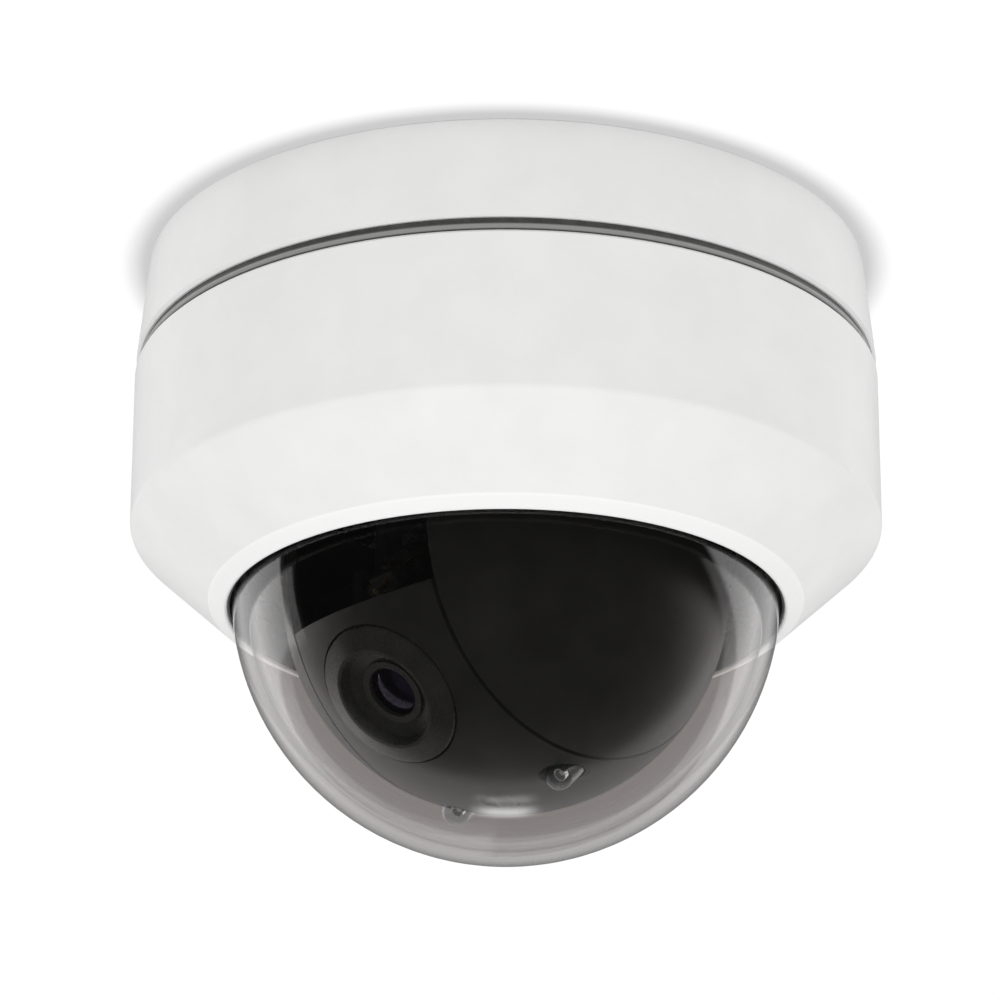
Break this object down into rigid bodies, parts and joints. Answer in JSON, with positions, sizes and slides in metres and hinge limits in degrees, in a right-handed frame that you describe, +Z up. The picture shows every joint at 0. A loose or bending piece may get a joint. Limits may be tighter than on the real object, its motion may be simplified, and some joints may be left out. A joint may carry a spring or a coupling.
{
  "type": "security camera",
  "caption": "Ceiling-mounted pan, tilt and zoom dome camera: white round case, smoked clear dome, black ball-shaped camera head with a lens and infrared lamps.",
  "frame": {"origin": "centre of the ceiling plate's bolt circle, in the plane of the ceiling", "axes": "+Z up into the ceiling, -Y the front of the case, +X its right seen from the ceiling with the front down the page"},
  "size_m": [0.13, 0.13, 0.1068],
  "materials": {
    "plate_steel": "zinc plated sheet steel",
    "case_paint": "fine-textured white powder coat on die-cast aluminium",
    "rubber": "moulded black rubber",
    "seam_rubber": "moulded grey rubber",
    "dome_clear": "lightly smoked clear polycarbonate",
    "stamped_steel": "zinc plated stamping",
    "screw_steel": "plated steel",
    "black_plastic": "fine-grained black ABS",
    "gloss_black": "smooth black plastic",
    "board": "solder-masked fibreglass",
    "chip_black": "black epoxy",
    "aluminium": "extruded, bare",
    "bearing_steel": "ground bearing steel",
    "gear_plastic": "natural acetal",
    "brass": "turned brass",
    "cast_grey": "black-coated die casting",
    "motor_steel": "plated motor can",
    "red_plastic": "red plastic",
    "cable_sleeve": "sleeved wires",
    "lens_glass": "coated optical glass",
    "led_clear": "clear epoxy lamp body",
    "filter_glass": "coated filter glass"
  },
  "bodies": {
    "mount": {"mount_plate": "plate_steel", "mount_studs": "screw_steel"},
    "case": {"base_housing": "case_paint", "case_screws": "screw_steel", "cable_grommet": "rubber", "body_gasket": "seam_rubber", "lower_housing": "case_paint", "dome_gasket": "rubber", "dome": "dome_clear", "dome_ring": "stamped_steel", "dome_ring_screws": "screw_steel", "shroud": "black_plastic", "main_board": "board", "board_components": "chip_black", "heat_sink": "aluminium", "card_socket": "stamped_steel", "board_screws": "screw_steel", "reset_switch": "chip_black", "pan_harness": "cable_sleeve", "chassis": "cast_grey", "chassis_screws": "screw_steel", "pan_motor": "motor_steel", "pan_motor_screws": "screw_steel", "pan_bearing_outer": "bearing_steel", "pan_bearing_balls": "bearing_steel"},
    "lock": {"lock_screw": "screw_steel"},
    "card": {"memory_card": "chip_black"},
    "button": {"reset_button": "red_plastic"},
    "pan_drive": {"pan_pinion": "gear_plastic"},
    "pan": {"turntable": "black_plastic", "pan_gear": "gear_plastic", "pan_bearing_inner": "bearing_steel", "pan_nut": "brass", "yoke": "cast_grey", "yoke_screws": "screw_steel", "tilt_bush_left": "brass", "tilt_bush_right": "brass", "cheek_left": "black_plastic", "cheek_right": "black_plastic", "cheek_screws": "screw_steel", "tilt_motor": "motor_steel", "tilt_motor_screws": "screw_steel"},
    "tilt_drive": {"tilt_pinion": "gear_plastic"},
    "head": {"head_frame": "cast_grey", "head_cowl": "black_plastic", "cowl_screws": "screw_steel", "tilt_gear": "gear_plastic", "lens_barrel": "black_plastic", "lens_front_ring": "gloss_black", "front_lens": "lens_glass", "guide_rods": "bearing_steel", "lens_motors": "motor_steel", "sensor_board": "board", "led_board": "board", "ir_leds": "led_clear"},
    "zoom": {"zoom_group": "black_plastic"},
    "zoom_drive": {"zoom_screw": "brass"},
    "focus": {"focus_group": "black_plastic"},
    "focus_drive": {"focus_screw": "brass"},
    "filter": {"ir_cut_filter": "filter_glass"}
  },
  "joints": [
    {"name": "mount_twist", "type": "hinge", "parent": "mount", "child": "case", "pos_m": [0, 0, -0.005], "axis": [0, 0, 1], "range_deg": [0, 15]},
    {"name": "lock_slide", "type": "slide", "parent": "case", "child": "lock", "axis": [0, 1, 0], "range_m": [0, 0.0025]},
    {"name": "card_slide", "type": "slide", "parent": "case", "child": "card", "axis": [0, -1, 0], "range_m": [0, 0.01]},
    {"name": "reset_press", "type": "slide", "parent": "case", "child": "button", "axis": [0, 0, 1], "range_m": [0, 0.0005], "stiffness_N_per_m": 400, "springref_m": -0.0015},
    {"name": "pan", "type": "hinge", "parent": "case", "child": "pan", "pos_m": [0, 0, -0.03], "axis": [0, 0, 1], "range_deg": [-129, 225]},
    {"name": "pan_pinion_spin", "type": "hinge", "parent": "case", "child": "pan_drive", "pos_m": [0, 0.0408, -0.03], "axis": [0, 0, 1], "range_deg": [-1480, 870]},
    {"name": "tilt", "type": "hinge", "parent": "pan", "child": "head", "pos_m": [0, 0, -0.0595], "axis": [0.6691, -0.7431, 0], "range_deg": [-44, 46]},
    {"name": "tilt_pinion_spin", "type": "hinge", "parent": "pan", "child": "tilt_drive", "pos_m": [0, 0, -0.045], "axis": [0.6691, -0.7431, 0], "range_deg": [-155, 150]},
    {"name": "zoom_travel", "type": "slide", "parent": "head", "child": "zoom", "axis": [-0.5346, -0.4813, -0.6947], "range_m": [-0.0035, 0.0035]},
    {"name": "zoom_screw_spin", "type": "hinge", "parent": "head", "child": "zoom_drive", "pos_m": [-0.01497, -0.01913, -0.06064], "axis": [-0.5346, -0.4813, -0.6947], "range_deg": [-660, 660]},
    {"name": "focus_travel", "type": "slide", "parent": "head", "child": "focus", "axis": [-0.5346, -0.4813, -0.6947], "range_m": [-0.002, 0.002]},
    {"name": "focus_screw_spin", "type": "hinge", "parent": "head", "child": "focus_drive", "pos_m": [-0.01738, -0.01, -0.05647], "axis": [-0.5346, -0.4813, -0.6947], "range_deg": [-390, 390]},
    {"name": "filter_shift", "type": "slide", "parent": "head", "child": "filter", "axis": [0.6691, -0.7431, 0], "range_m": [0, 0.006]}
  ],
  "couplings": [
    {"joint": "pan_pinion_spin", "follows": "pan", "ratio": -6.2857},
    {"joint": "tilt_pinion_spin", "follows": "tilt", "ratio": -3.1429},
    {"joint": "zoom_screw_spin", "follows": "zoom_travel", "rad_per_m": 3141.6},
    {"joint": "focus_screw_spin", "follows": "focus_travel", "rad_per_m": 3141.6}
  ]
}
